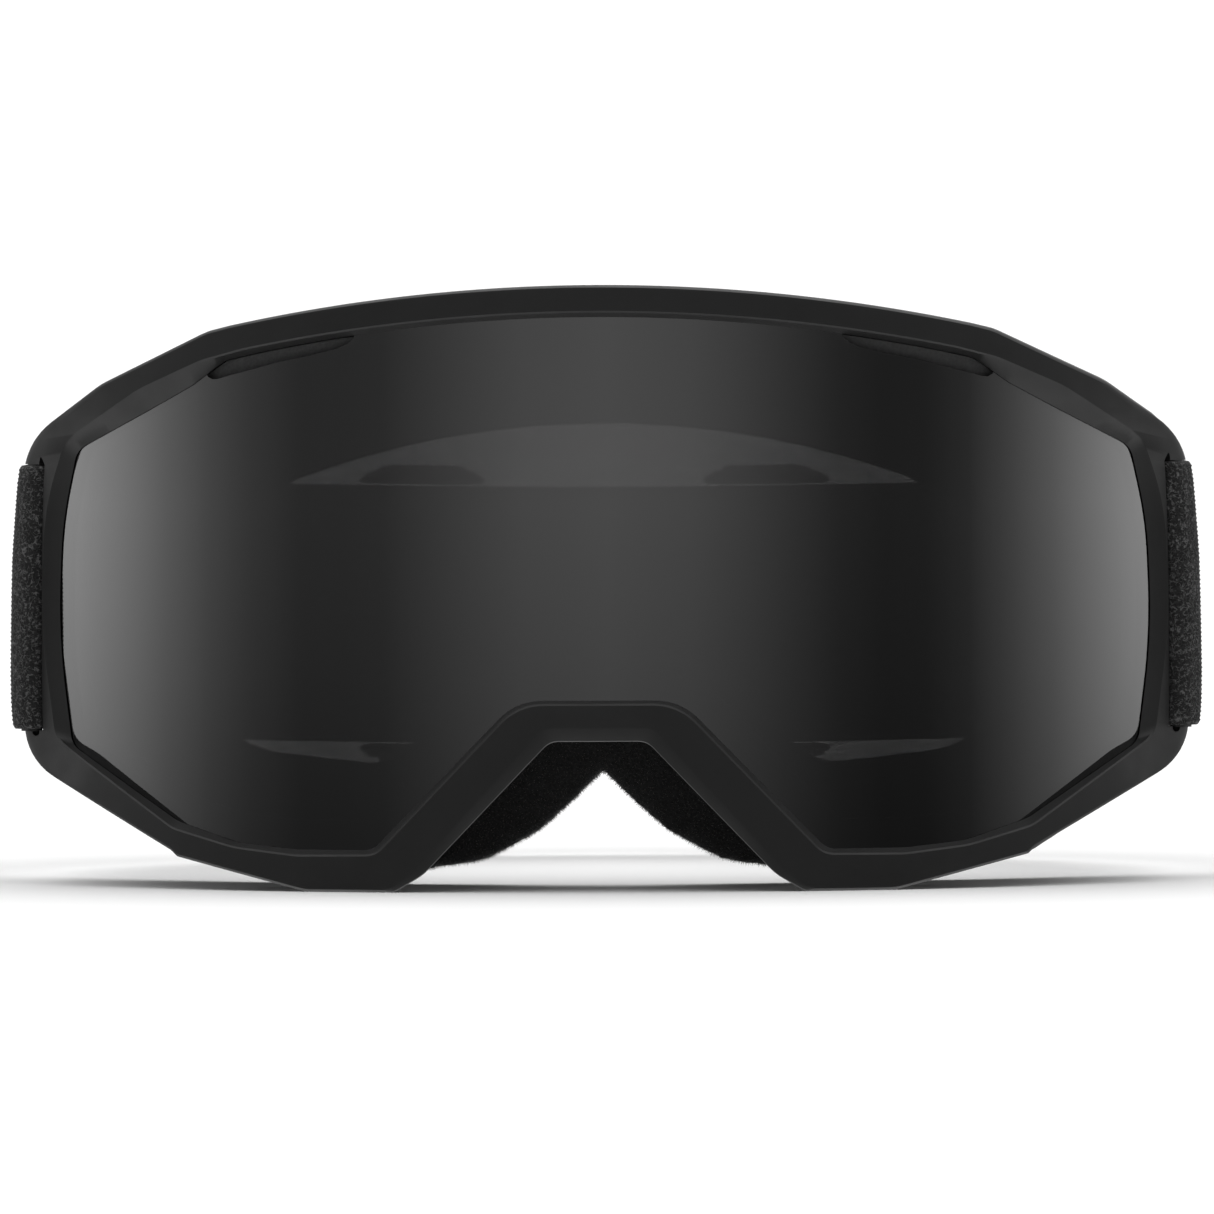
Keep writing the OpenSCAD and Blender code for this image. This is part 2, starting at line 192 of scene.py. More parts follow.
def add_world():
    world = bpy.data.worlds.new("studio")
    bpy.context.scene.world = world
    world.use_nodes = True
    tree = world.node_tree
    tree.nodes.clear()
    direction = tree.nodes.new("ShaderNodeTexCoord")
    parts = tree.nodes.new("ShaderNodeSeparateXYZ")
    tree.links.new(direction.outputs["Generated"], parts.inputs[0])
    forward = math_node(tree, "MULTIPLY", parts.outputs["Y"], -1.0)
    angle = math_node(tree, "ARCTAN2", parts.outputs["X"], forward)
    share = math_node(tree, "MULTIPLY_ADD", angle, 1 / math.tau, 0.5)
    panels = tree.nodes.new("ShaderNodeValToRGB")
    tree.links.new(share, panels.inputs[0])
    elements = panels.color_ramp.elements
    while len(elements) < len(STUDIO):
        elements.new(0.5)
    for element, (degrees, level) in zip(elements, STUDIO):
        element.position = degrees / 360 + 0.5
        element.color = [level / STUDIO_PEAK] * 3 + [1]
    height = math_node(tree, "ABSOLUTE", parts.outputs["Z"])
    above_panels = map_range(tree, height, 0.08, 0.22, 0, 1, "SMOOTHSTEP")
    ceiling = map_range(tree, height, 0.4, 0.85, 0, 1, "SMOOTHSTEP")
    backwards = map_range(tree, parts.outputs["Y"], -0.5, 0.5, 0, 1, "SMOOTHSTEP")
    room = mix_colour(tree, above_panels, panels.outputs[0], grey(STUDIO_MIDDLE / STUDIO_PEAK))
    front, back = grey(CEILING_FRONT / STUDIO_PEAK), grey(CEILING_BACK / STUDIO_PEAK)
    lit = mix_colour(tree, ceiling, room, mix_colour(tree, backwards, front, back))
    studio = tree.nodes.new("ShaderNodeBackground")
    studio.inputs["Strength"].default_value = STUDIO_PEAK
    tree.links.new(lit, studio.inputs["Color"])
    white = tree.nodes.new("ShaderNodeBackground")
    white.inputs["Color"].default_value = (1, 1, 1, 1)
    rays = tree.nodes.new("ShaderNodeLightPath")
    choice = tree.nodes.new("ShaderNodeMixShader")
    tree.links.new(rays.outputs["Is Camera Ray"], choice.inputs[0])
    tree.links.new(studio.outputs[0], choice.inputs[1])
    tree.links.new(white.outputs[0], choice.inputs[2])
    output = tree.nodes.new("ShaderNodeOutputWorld")
    tree.links.new(choice.outputs[0], output.inputs["Surface"])
    bpy.context.scene.view_settings.view_transform = "Standard"


def add_floor():
    half = 20.0  # metres, so that it fills the view
    corners = [(-half, -half, 0), (half, -half, 0), (half, half, 0), (-half, half, 0)]
    mesh = bpy.data.meshes.new("floor")
    mesh.from_pydata(corners, [], [(0, 1, 2, 3)])
    floor = bpy.data.objects.new("floor", mesh)
    bpy.context.scene.collection.objects.link(floor)
    paper, _, _ = material("studio_paper", "Base Color", (0.94, 0.94, 0.94, 1), "Roughness", 1.0)
    mesh.materials.append(paper)
    floor.visible_glossy = False


# ---- Shader helpers ----

def math_node(tree, operation, *values):
    node = tree.nodes.new("ShaderNodeMath")
    node.operation = operation
    for socket, value in zip(node.inputs, values):
        if isinstance(value, (int, float)):
            socket.default_value = value
        else:
            tree.links.new(value, socket)
    return node.outputs[0]


def mix_colour(tree, factor, first, second):
    node = tree.nodes.new("ShaderNodeMix")
    node.data_type = "RGBA"
    tree.links.new(factor, node.inputs["Factor"])
    for name, value in (("A", first), ("B", second)):
        socket = next(s for s in node.inputs if s.name == name and s.type == "RGBA")
        if isinstance(value, (list, tuple)):
            socket.default_value = value
        else:
            tree.links.new(value, socket)
    return next(s for s in node.outputs if s.type == "RGBA")


def material(name, *settings):
    """A material with one Principled shader; settings are socket names and values in turn."""
    made = bpy.data.materials.new(name)
    made.use_nodes = True
    tree = made.node_tree
    shader = tree.nodes["Principled BSDF"]
    for socket, value in zip(settings[::2], settings[1::2]):
        shader.inputs[socket].default_value = value
    return made, tree, shader


def grey(level):
    return (level, level, level, 1)


def place(tree, scale=(1, 1, 1), turn=(0, 0, 0)):
    """The object's own coordinates in metres, stretched and turned."""
    source = tree.nodes.new("ShaderNodeTexCoord")
    mapping = tree.nodes.new("ShaderNodeMapping")
    mapping.inputs["Scale"].default_value = scale
    mapping.inputs["Rotation"].default_value = turn
    tree.links.new(source.outputs["Object"], mapping.inputs["Vector"])
    return mapping.outputs[0]


def noise_of(tree, size, detail=3.0, rough=0.55, scale=(1, 1, 1), distortion=0.0):
    """Noise whose blotches are about size millimetres across."""
    node = tree.nodes.new("ShaderNodeTexNoise")
    node.inputs["Scale"].default_value = 1 / (size * MM)
    node.inputs["Detail"].default_value = detail
    node.inputs["Roughness"].default_value = rough
    node.inputs["Distortion"].default_value = distortion
    tree.links.new(place(tree, scale), node.inputs["Vector"])
    return node.outputs["Fac"]


def cells_of(tree, size):
    """Distance from the middle of each of a set of random cells about size millimetres across."""
    node = tree.nodes.new("ShaderNodeTexVoronoi")
    node.inputs["Scale"].default_value = 1 / (size * MM)
    tree.links.new(place(tree), node.inputs["Vector"])
    return node.outputs["Distance"]


def ramp(tree, value, stops):
    node = tree.nodes.new("ShaderNodeValToRGB")
    elements = node.color_ramp.elements
    while len(elements) < len(stops):
        elements.new(0.5)
    for element, (position, colour) in zip(elements, stops):
        element.position = position
        element.color = colour if isinstance(colour, tuple) else grey(colour)
    tree.links.new(value, node.inputs[0])
    return node.outputs[0]


def map_range(tree, value, low, high, out_low, out_high, kind="LINEAR"):
    node = tree.nodes.new("ShaderNodeMapRange")
    node.interpolation_type = kind
    names = ("From Min", "From Max", "To Min", "To Max")
    for name, number in zip(names, (low, high, out_low, out_high)):
        node.inputs[name].default_value = number
    tree.links.new(value, node.inputs["Value"])
    return node.outputs[0]


def bump(tree, shader, height, depth, strength=1.0, under=None):
    node = tree.nodes.new("ShaderNodeBump")
    node.inputs["Strength"].default_value = strength
    node.inputs["Distance"].default_value = depth * MM
    tree.links.new(height, node.inputs["Height"])
    if under is not None:
        tree.links.new(under, node.inputs["Normal"])
    tree.links.new(node.outputs[0], shader.inputs["Normal"])
    return node.outputs[0]


def edge_highlight_mask(tree, low, high):
    """1 on exposed edges, where a lighter highlight is painted, 0 elsewhere."""
    geometry = tree.nodes.new("ShaderNodeNewGeometry")
    return map_range(tree, geometry.outputs["Pointiness"], low, high, 0, 1)


# ---- Materials ----

def frame_material():
    made, tree, shader = material("frame_tpu", "Specular IOR Level", 0.4, "Sheen Weight", 0.02)
    mottle = ramp(tree, noise_of(tree, 14, 4), [(0.3, 0.0072), (0.7, 0.0092)])
    # Sharp outer edges are painted lighter: a painted highlight along them.
    painted_edge_highlight = math_node(tree, "MULTIPLY", edge_highlight_mask(tree, 0.53, 0.62), 0.35)
    tree.links.new(mix_colour(tree, painted_edge_highlight, mottle, grey(0.03)), shader.inputs["Base Color"])
    gloss = map_range(tree, noise_of(tree, 6, 5), 0.3, 0.7, 0.46, 0.56)
    tree.links.new(gloss, shader.inputs["Roughness"])
    grain = bump(tree, shader, noise_of(tree, 0.22, 2), 0.02, 0.5)
    bump(tree, shader, noise_of(tree, 1.6, 3), 0.02, 0.35, grain)
    return made


def outer_lens_material():
    made, tree, shader = material(
        "lens_mirror", "Metallic", 1.0, "Alpha", 0.83, "Specular IOR Level", 0.5
    )
    # The mirror's base colour grows darker towards the bottom: a painted reflection, dimming what
    # the lower lens reflects.
    height = tree.nodes.new("ShaderNodeSeparateXYZ")
    tree.links.new(place(tree), height.inputs[0])
    rise = map_range(tree, height.outputs["Z"], 0.006, 0.058, 0, 1)
    painted_reflection_gradient = ramp(tree, rise, [(0, 0.125), (0.5, 0.19), (1, 0.24)])
    coating = map_range(tree, noise_of(tree, 30, 2), 0.3, 0.7, 0, 0.05)
    tree.links.new(mix_colour(tree, coating, painted_reflection_gradient, grey(0.3)), shader.inputs["Base Color"])
    smears = map_range(tree, noise_of(tree, 9, 6, 0.6, (1, 1, 0.5)), 0.35, 0.75, 0.035, 0.075)
    tree.links.new(smears, shader.inputs["Roughness"])
    return made


def inner_lens_material():
    made, tree, shader = material(
        "lens_clear", "Base Color", grey(0.05), "Alpha", 0.3, "Specular IOR Level", 0.5,
        "Coat Weight", 0.3,
    )
    haze = map_range(tree, noise_of(tree, 12, 5), 0.3, 0.8, 0.05, 0.16)
    tree.links.new(haze, shader.inputs["Roughness"])
    return made


def gasket_material():
    made, tree, shader = material("gasket_foam_tape", "Roughness", 0.9, "Sheen Weight", 0.1)
    cells = cells_of(tree, 0.5)
    tree.links.new(ramp(tree, cells, [(0.2, 0.036), (0.9, 0.05)]), shader.inputs["Base Color"])
    bump(tree, shader, cells, 0.05, 0.5)
    return made


def foam_material(name, cell, dark, light):
    """Open-cell foam: dark pores in a lighter skeleton."""
    made, tree, shader = material(name, "Roughness", 0.95, "Sheen Weight", 0.25)
    pores = cells_of(tree, cell)
    mottle = noise_of(tree, 5, 3)
    skeleton = ramp(tree, pores, [(0.15, dark), (0.75, light)])
    uneven = mix_colour(tree, map_range(tree, mottle, 0.3, 0.7, 0, 0.5), skeleton, grey(dark))
    specks = map_range(tree, noise_of(tree, 0.3, 1), 0.64, 0.72, 0, 0.8)
    tree.links.new(mix_colour(tree, specks, uneven, grey(light * 2.5)), shader.inputs["Base Color"])
    first = bump(tree, shader, pores, cell * 0.35, 0.9)
    bump(tree, shader, noise_of(tree, cell * 0.4, 2), cell * 0.2, 0.5, first)
    return made


def fleece_material():
    """Dark fleece: small tufts gathered in clumps."""
    dark, light = (0.010, 0.0092, 0.0086, 1), (0.045, 0.040, 0.036, 1)
    made, tree, shader = material(
        "fleece", "Roughness", 1.0, "Sheen Weight", 0.35, "Sheen Roughness", 0.6
    )
    tufts = noise_of(tree, 0.55, 4, 0.65, (1, 1, 1), 1.2)
    clumps = noise_of(tree, 3.2, 3)
    height = math_node(tree, "MULTIPLY_ADD", clumps, 0.6, tufts)
    tree.links.new(ramp(tree, height, [(0.62, dark), (1.05, light)]), shader.inputs["Base Color"])
    first = bump(tree, shader, tufts, 0.35, 0.9)
    bump(tree, shader, clumps, 0.5, 0.4, first)
    return made


def pile_material():
    made, tree, shader = material("fleece_pile", "Roughness", 0.9, "Sheen Weight", 0.4)
    tone = noise_of(tree, 0.9, 2)
    warm = ramp(tree, tone, [(0.35, (0.018, 0.015, 0.013, 1)), (0.6, (0.05, 0.036, 0.028, 1)),
                             (0.75, (0.10, 0.085, 0.075, 1))])
    tree.links.new(warm, shader.inputs["Base Color"])
    return made


def strands(tree, size, width, distortion, turn=(0, 0, 0)):
    """Thin bright lines that wander: the middle heights of a distorted noise."""
    node = tree.nodes.new("ShaderNodeTexNoise")
    node.inputs["Scale"].default_value = 1 / (size * MM)
    node.inputs["Detail"].default_value = 1.0
    node.inputs["Distortion"].default_value = distortion
    tree.links.new(place(tree, (1, 1, 1), turn), node.inputs["Vector"])
    away = math_node(tree, "ABSOLUTE", math_node(tree, "SUBTRACT", node.outputs["Fac"], 0.5))
    return map_range(tree, away, width, 0.0, 0, 1, "SMOOTHSTEP")


def elastic_material():
    """Knitted elastic: black yarn crossed by grey loops that wander over each rib."""
    made, tree, shader = material(
        "elastic_knit", "Roughness", 0.8, "Sheen Weight", 0.06, "Sheen Roughness", 0.4
    )
    yarns = strands(tree, 0.9, 0.09, 0.8), strands(tree, 0.7, 0.06, 0.5, (0.9, 0.4, 0.3))
    loops = math_node(tree, "MAXIMUM", *yarns)
    gaps = map_range(tree, noise_of(tree, 0.55, 1), 0.4, 0.56, 0.2, 1)
    fibre = noise_of(tree, 0.22, 2, 0.6, (1, 1, 1), 0.6)
    lit = math_node(tree, "MULTIPLY", loops, gaps)
    yarn = ramp(tree, lit, [(0.0, 0.004), (0.5, 0.018), (1.0, 0.095)])
    tree.links.new(yarn, shader.inputs["Base Color"])
    first = bump(tree, shader, loops, 0.16, 0.8)
    bump(tree, shader, fibre, 0.06, 0.5, first)
    return made


def slider_material():
    made, tree, shader = material("slider_plastic", "Specular IOR Level", 0.45)
    mottle = ramp(tree, noise_of(tree, 3, 4), [(0.3, 0.016), (0.7, 0.022)])
    # Sharp outer edges are painted lighter: a painted highlight along them.
    edge = math_node(tree, "MULTIPLY", edge_highlight_mask(tree, 0.52, 0.6), 0.4)
    tree.links.new(mix_colour(tree, edge, mottle, grey(0.06)), shader.inputs["Base Color"])
    gloss = map_range(tree, noise_of(tree, 1.2, 4), 0.3, 0.7, 0.36, 0.5)
    tree.links.new(gloss, shader.inputs["Roughness"])
    bump(tree, shader, noise_of(tree, 0.3, 2), 0.015, 0.5)
    return made


def thread_material():
    made, tree, shader = material("thread", "Roughness", 0.5, "Sheen Weight", 0.3)
    twist = noise_of(tree, 0.3, 1, 0.5, (1, 1, 2.5))
    tree.links.new(ramp(tree, twist, [(0.35, 0.03), (0.65, 0.075)]), shader.inputs["Base Color"])
    bump(tree, shader, twist, 0.08, 0.8)
    return made


# ---- Mesh helpers ----

def mesh_object(name, points, faces, sharp=35):
    mesh = bpy.data.meshes.new(name)
    mesh.from_pydata(points, [], faces)
    made = bmesh.new()
    made.from_mesh(mesh)
    bmesh.ops.recalc_face_normals(made, faces=made.faces)
    made.to_mesh(mesh)
    made.free()
    obj = bpy.data.objects.new(name, mesh)
    bpy.context.scene.collection.objects.link(obj)
    shade(obj, sharp)
    return obj


def shade(obj, sharp):
    obj.data.shade_smooth()
    obj.data.set_sharp_from_angle(angle=math.radians(sharp))


def apply_modifiers(obj):
    evaluated = obj.evaluated_get(bpy.context.evaluated_depsgraph_get())
    mesh = bpy.data.meshes.new_from_object(evaluated)
    obj.modifiers.clear()
    obj.data = mesh


def combine(obj, other, operation):
    """Cuts other from obj, or joins it to obj, and removes it."""
    modifier = obj.modifiers.new(operation, "BOOLEAN")
    modifier.operation = operation
    modifier.solver = "EXACT"
    modifier.object = other
    apply_modifiers(obj)
    bpy.data.objects.remove(other)


def skin(rings, closed=True):
    """Quads through rings of points of one count; closed joins the last ring to the first."""
    count = len(rings[0])
    last = len(rings) if closed else len(rings) - 1
    points = [p for loop in rings for p in loop]
    faces = []
    for i in range(last):
        low = i * count
        high = (i + 1) % len(rings) * count
        for j in range(count):
            k = (j + 1) % count
            faces.append((low + j, low + k, high + k, high + j))
    if not closed:
        faces.append(tuple(range(count)))
        faces.append(tuple(range((len(rings) - 1) * count, len(rings) * count)))
    return points, faces


def finish_piece(obj, body, slot, look, *nodes):
    obj.data.materials.clear()
    obj.data.materials.append(look)
    if nodes:
        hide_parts(*nodes)
    if body:
        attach(obj, body)


# ---- Outlines seen from the front: right halves of (x, z, corner radius, 1 at a station) ----
# Every outline has the same eight stations, so that points of the same number face each other.

STRETCH_COUNTS = (60, 12, 16, 50, 34, 26, 16, 32, 14)


def arch(top, r, x_end, count=20):
    xs = [x_end * i / count for i in range(count + 1)]
    return [(x, top - r + math.sqrt(r * r - x * x), 0, 0) for x in xs]


RIM = arch(91.5, 256, 56) + [
    (59.5, 84.4, 8, 1), (76, 76.3, 12, 1), (88.5, 67, 11, 1), (88.5, 19.2, 9, 1),
    (65.3, 5.9, 0.4, 0), (64.4, 5, 0.4, 1), (44.5, 0, 8, 1), (31, 0, 2.5, 1),
    (26.6, 2.6, 8, 0), (7.3, 22.75, 3, 1), (0, 22.75, 0, 0),
]
OUTER_CREASE = arch(91.2, 256, 56) + [
    (59.4, 84.1, 8, 1), (75.85, 76, 12, 1), (88.15, 66.8, 11, 1), (88.15, 19.4, 9, 1),
    (65.3, 6.3, 1, 0), (64.4, 5.4, 1, 1), (44.6, 0.4, 8, 1), (31.4, 0.4, 2.7, 1),
    (27.6, 3.3, 8, 0), (8.2, 24.65, 3, 1), (0, 24.65, 0, 0),
]
CREASE = arch(87.4, 256, 54) + [
    (60.2, 79.9, 10, 1), (70, 75.4, 20, 1), (81.5, 67.5, 4, 1), (84.7, 57.5, 40, 0),
    (85.5, 40, 80, 0), (83.2, 22.4, 4, 1), (65, 9.4, 6, 1), (55.5, 6.7, 14, 0),
    (46, 5.6, 14, 1), (33.9, 5.75, 3.4, 1), (12.15, 28.5, 9, 1), (0, 28.5, 0, 0),
]
OPENING = arch(86.7, 247, 52) + [
    (56.5, 80.1, 3, 0), (59.1, 78.2, 0, 1), (61.8, 76.2, 4, 0), (69, 72.15, 0, 1),
    (79.9, 66.2, 3.5, 1), (82.3, 55, 60, 0), (83, 38, 100, 0), (80.9, 21.4, 3, 1),
    (64.3, 10.3, 7, 1), (55, 7.2, 14, 0), (46, 6.3, 14, 1), (34.3, 6.3, 3, 1),
    (12.4, 28.9, 9, 1), (0, 28.9, 0, 0),
]
BODY = arch(89, 253, 54) + [
    (57.5, 82.2, 8, 1), (74.5, 74, 12, 1), (83, 67.9, 5, 1), (83, 16.6, 4, 1),
    (64.4, 5, 8, 1), (44.5, 0, 8, 1), (31, 0, 2.5, 1),
    (26.6, 2.6, 8, 0), (7.3, 22.75, 3, 1), (0, 22.75, 0, 0),
]
FACE = arch(70.2, 130, 45) + [
    (46, 61.8, 0, 1), (55, 57, 14, 1), (69.5, 44, 14, 1), (66, 28, 14, 1),
    (59, 24.25, 0, 1), (52, 20.5, 14, 1), (33, 18.5, 8, 1), (22, 27, 8, 0),
    (12, 34, 8, 1), (0, 35, 0, 0),
]
FOAM = arch(88, 252, 54) + [
    (57, 81.2, 8, 1), (74, 73.1, 12, 1), (82, 67.2, 6, 1), (82, 17, 6, 1),
    (64.4, 5.7, 10, 1), (45, 0.3, 10, 1), (27, 2.8, 6, 1), (18, 4.1, 10, 0), (10, 8.4, 12, 0),
    (4, 13.8, 6, 1), (0, 17.8, 0, 0),
]


def neighbours(half, i):
    """A control point with the ones before and after it, mirrored across the middle at the ends."""
    points = [Vector(p[:2]) for p in half]
    before = points[i - 1] if i else Vector((-points[1].x, points[1].y))
    after = points[i + 1] if i + 1 < len(half) else Vector((-points[-2].x, points[-2].y))
    return before, points[i], after


def inset(half, d):
    """The outline moved inwards by d, with its corner radii kept concentric."""
    moved = []
    for i, (_, _, r, station) in enumerate(half):
        before, p, after = neighbours(half, i)
        a = (p - before).normalized()
        b = (after - p).normalized()
        na = Vector((a.y, -a.x))
        nb = Vector((b.y, -b.x))
        q = p + (na + nb) * d / (1 + na.dot(nb))
        grown = r - d if a.x * b.y - a.y * b.x < 0 else r + d
        moved.append((q.x, q.y, max(grown, 0.6) if r else 0, station))
    return moved


def corner(before, p, after, r, steps=8):
    """An arc of radius r that rounds the corner p, with a point at its middle."""
    u = (before - p).normalized()
    v = (after - p).normalized()
    half = math.acos(max(-1, min(1, u.dot(v)))) / 2
    if half > math.radians(89.9):
        return [p]
    centre = p + (u + v).normalized() * r / math.sin(half)
    start = p + u * r / math.tan(half) - centre
    end = p + v * r / math.tan(half) - centre
    first = math.atan2(start.y, start.x)
    turn = (math.atan2(end.y, end.x) - first + math.pi) % math.tau - math.pi
    angles = [first + turn * i / steps for i in range(steps + 1)]
    return [centre + Vector((math.cos(t), math.sin(t))) * r for t in angles]


def resampled(points, shares):
    """Points along a polyline at the given shares of its length."""
    reach = [0.0]
    for a, b in zip(points, points[1:]):
        reach.append(reach[-1] + (b - a).length)
    found = []
    i = 0
    for share in shares:
        goal = share * reach[-1]
        while i < len(points) - 2 and reach[i + 1] < goal:
            i += 1
        step = max(reach[i + 1] - reach[i], 1e-9)
        found.append(points[i].lerp(points[i + 1], min(max((goal - reach[i]) / step, 0), 1)))
    return found


def whole(half):
    """The whole rounded outline, clockwise from the top, with points gathered near the stations."""
    stretches = []
    current = []
    for i, (_, _, r, station) in enumerate(half):
        before, p, after = neighbours(half, i)
        arc = corner(before, p, after, r) if r else [p]
        middle = len(arc) // 2
        if station:
            stretches.append(current + arc[:middle + 1])
            current = arc[middle:]
        else:
            current += arc
    stretches.append(current)
    right = []
    for stretch, count in zip(stretches, STRETCH_COUNTS):
        even = [k / count for k in range(count)]
        right += resampled(stretch, [0.5 * s + 0.25 * (1 - math.cos(math.pi * s)) for s in even])
    right.append(stretches[-1][-1])
    return right + [Vector((-p.x, p.y)) for p in reversed(right[1:-1])]


def ring(half, depth, x_limit=1000):
    """An outline put on a curved surface, whose depth is given by x and z."""
    points = []
    for p in whole(half):
        x = max(-x_limit, min(x_limit, p.x))
        points.append(at(x, depth(x, p.y), max(p.y, 0)))
    return points


def on_rim(r, nose_drop=0.0, side_drop=0.0):
    """The rim's cylinder of radius r, which can drop back at the nose's edge and at both sides."""
    def depth(x, z):
        near_nose = smooth_step((27 - abs(x)) / 6) * smooth_step((30 - z) / 4)
        at_side = smooth_step((abs(x) - 79.5) / 3.5)
        return rim_y(x, r - nose_drop * near_nose - side_drop * at_side)
    return depth


def on_face(r):
    return lambda x, z: face_y(x, r)


def behind_rim(extra=0.0):
    """The rim's back, which steps forward to thin wings at both sides."""
    def depth(x, z):
        step = smooth_step((abs(x) - WING_X) / 0.12)
        return rim_y(x, RIM_BACK_R + (WING_BACK_R - RIM_BACK_R) * step + extra)
    return depth


def flush(half, depth, low_r, x_limit=1000):
    """A ring of the rim's back, which draws in to the body wherever their outlines run together."""
    points = []
    body = whole(BODY)
    for p, edge, inner in zip(whole(half), whole(RIM), body):
        share = smooth_step(min((edge - b).length for b in body) / 1.6)
        q = inner.lerp(p, share)
        x = max(-x_limit, min(x_limit, q.x))
        points.append(at(x, rim_y(x, low_r) * (1 - share) + depth(x, q.y) * share, max(q.y, 0)))
    return points


# ---- Frame ----

def frame_rings():
    groove = inset(OPENING, -2.35)
    inside = inset(BODY, WALL)
    limit = LENS_SIDE_X + 0.15
    return [
        ring(OPENING, on_rim(GROOVE_R[1] - 0.05)),
        ring(inset(OPENING, -0.05), on_rim(GROOVE_R[1] + 0.04)),
        ring(CREASE, on_rim(RIM_FRONT_R - 0.2, 0, 0.6)),
        ring(inset(CREASE, -0.3), on_rim(RIM_FRONT_R, 0, 0.6)),
        ring(inset(OUTER_CREASE, 0.4), on_rim(RIM_FRONT_R, 0, 0.6)),
        ring(OUTER_CREASE, on_rim(RIM_FRONT_R - 0.06, 0, 0.55)),
        ring(inset(RIM, 0.14), on_rim(RIM_FRONT_R - 0.3, 0.4, 0.4)),
        ring(inset(RIM, 0.03), on_rim(RIM_FRONT_R - 0.6, 0.4, 0.2)),
        ring(RIM, on_rim(RIM_FRONT_R - 1.0, 0.4)),
        ring(RIM, behind_rim(0.7)),
        flush(inset(RIM, 0.12), behind_rim(0.25), RIM_BACK_R + 0.25),
        flush(inset(RIM, 0.5), behind_rim(), RIM_BACK_R),
        flush(inset(RIM, 0.7), behind_rim(), RIM_BACK_R - 0.1, WING_X + 0.2),
        flush(inset(RIM, 0.9), on_rim(RIM_BACK_R), RIM_BACK_R - 0.15, WING_X - 0.05),
        flush(inset(BODY, -0.25), on_rim(RIM_BACK_R), RIM_BACK_R - 0.2),
        ring(BODY, on_rim(RIM_BACK_R - 0.3)),
        ring(BODY, on_face(FLANGE_R[0] + 1.1)),
        ring(inset(BODY, 0.25), on_face(FLANGE_R[0] + 0.35)),
        ring(inset(BODY, 0.9), on_face(FLANGE_R[0])),
        ring(inset(FACE, -0.5), on_face(FLANGE_R[0])),
        ring(FACE, on_face(FLANGE_R[0] + 0.5)),
        ring(FACE, on_face(FLANGE_R[1] - 0.4)),
        ring(inset(FACE, -0.4), on_face(FLANGE_R[1])),
        ring(inside, on_face(FLANGE_R[1])),
        ring(inside, on_rim(RIM_BACK_R)),
        ring(inset(OPENING, -0.4), on_rim(RIM_BACK_R)),
        ring(OPENING, on_rim(RIM_BACK_R + 0.4)),
        ring(OPENING, on_rim(GROOVE_R[0])),
        ring(groove, on_rim(GROOVE_R[0]), limit),
        ring(groove, on_rim(GROOVE_R[1]), limit),
    ]


def block(name, size, where, rounding, axis=2):
    """A box in metres whose edges along one axis are rounded."""
    made = bmesh.new()
    bmesh.ops.create_cube(made, size=1)
    bmesh.ops.scale(made, vec=size, verts=made.verts)
    along = [e for e in made.edges if abs((e.verts[0].co - e.verts[1].co)[axis]) > size[axis] / 2]
    bmesh.ops.bevel(made, geom=along, offset=rounding, segments=4, affect="EDGES", profile=0.5)
    bmesh.ops.transform(made, matrix=where, verts=made.verts)
    mesh = bpy.data.meshes.new(name)
    made.to_mesh(mesh)
    made.free()
    return mesh


def wall_y(x):
    return (rim_y(x, RIM_BACK_R) + face_y(x, FLANGE_R[1])) / 2


def wall_slant(x):
    rim_slope = x / math.sqrt(RIM_BACK_R ** 2 - x * x)
    face_slope = x / math.sqrt(FLANGE_R[1] ** 2 - x * x)
    return math.atan((rim_slope + face_slope) / 2)


def vent_windows():
    """(x, z, roll in degrees, width, depth) of each window in the wall."""
    top = [(i * 21.5, 87.5 - abs(i) * 1.6, 0, 16, 9) for i in range(-2, 3)]
    side = [(63 + i * 6, 79 - i * 3.6, 30, 3.6, 10) for i in range(3)]
    side += [(67 + i * 5, 6.5 + i * 3.1, -31, 3.2, 10) for i in range(3)]
    side += [(37.5 + i * 12, 1, 0, 8, 8) for i in range(2)]
    return top + side + [(-x, z, -roll, w, d) for x, z, roll, w, d in side]


def cutters():
    made = bmesh.new()
    for x, z, roll, w, d in vent_windows():
        turn = Matrix.Rotation(math.radians(roll), 4, "Y")
        if roll == 0:
            turn = Matrix.Rotation(wall_slant(x), 4, "Z")
        where = Matrix.Translation(at(x, wall_y(x), z)) @ turn
        made.from_mesh(block("window", (w * MM, d * MM, 9 * MM), where, min(w, d) * 0.28 * MM))
    mesh = bpy.data.meshes.new("cutters")
    made.to_mesh(mesh)
    made.free()
    obj = bpy.data.objects.new("cutters", mesh)
    bpy.context.scene.collection.objects.link(obj)
    return obj


# The strap's bars and slots lean: (height, how far out from upright)
LEAN = [(24, 0.3), (26, 0.5), (28, 0.6), (32, 0.66), (37, 0.6), (43, 0.5), (49, 0.35), (52, 0.17),
        (55, -0.05), (58, -0.27), (61, -0.52), (62.5, -0.75), (64.4, -0.95)]


def lean(z):
    if z <= LEAN[0][0]:
        return LEAN[0][1]
    for (z0, x0), (z1, x1) in zip(LEAN, LEAN[1:]):
        if z <= z1:
            return x0 + (x1 - x0) * (z - z0) / (z1 - z0)
    return LEAN[-1][1]


def leaning_prism(name, side, plan, low, high):
    """A plan drawn out from low to high along the slots' lean."""
    heights = [low] + [z for z, _ in LEAN if low + 0.1 < z < high - 0.1] + [high]
    rings = [[at(side * (p[0] + lean(z)), p[1], z) for p in plan] for z in heights]
    return mesh_object(name, *skin(rings, closed=False))


def strap_slot(side):
    """The space beside a strap bar, open to the back."""
    plan = [(88.4, 41), (84.2, 44.2), (83.8, 46), (83.8, 70), (95, 70), (95, 41)]
    return leaning_prism("slot", side, plan, STRAP_Z - SLOT_HALF, STRAP_Z + SLOT_HALF)


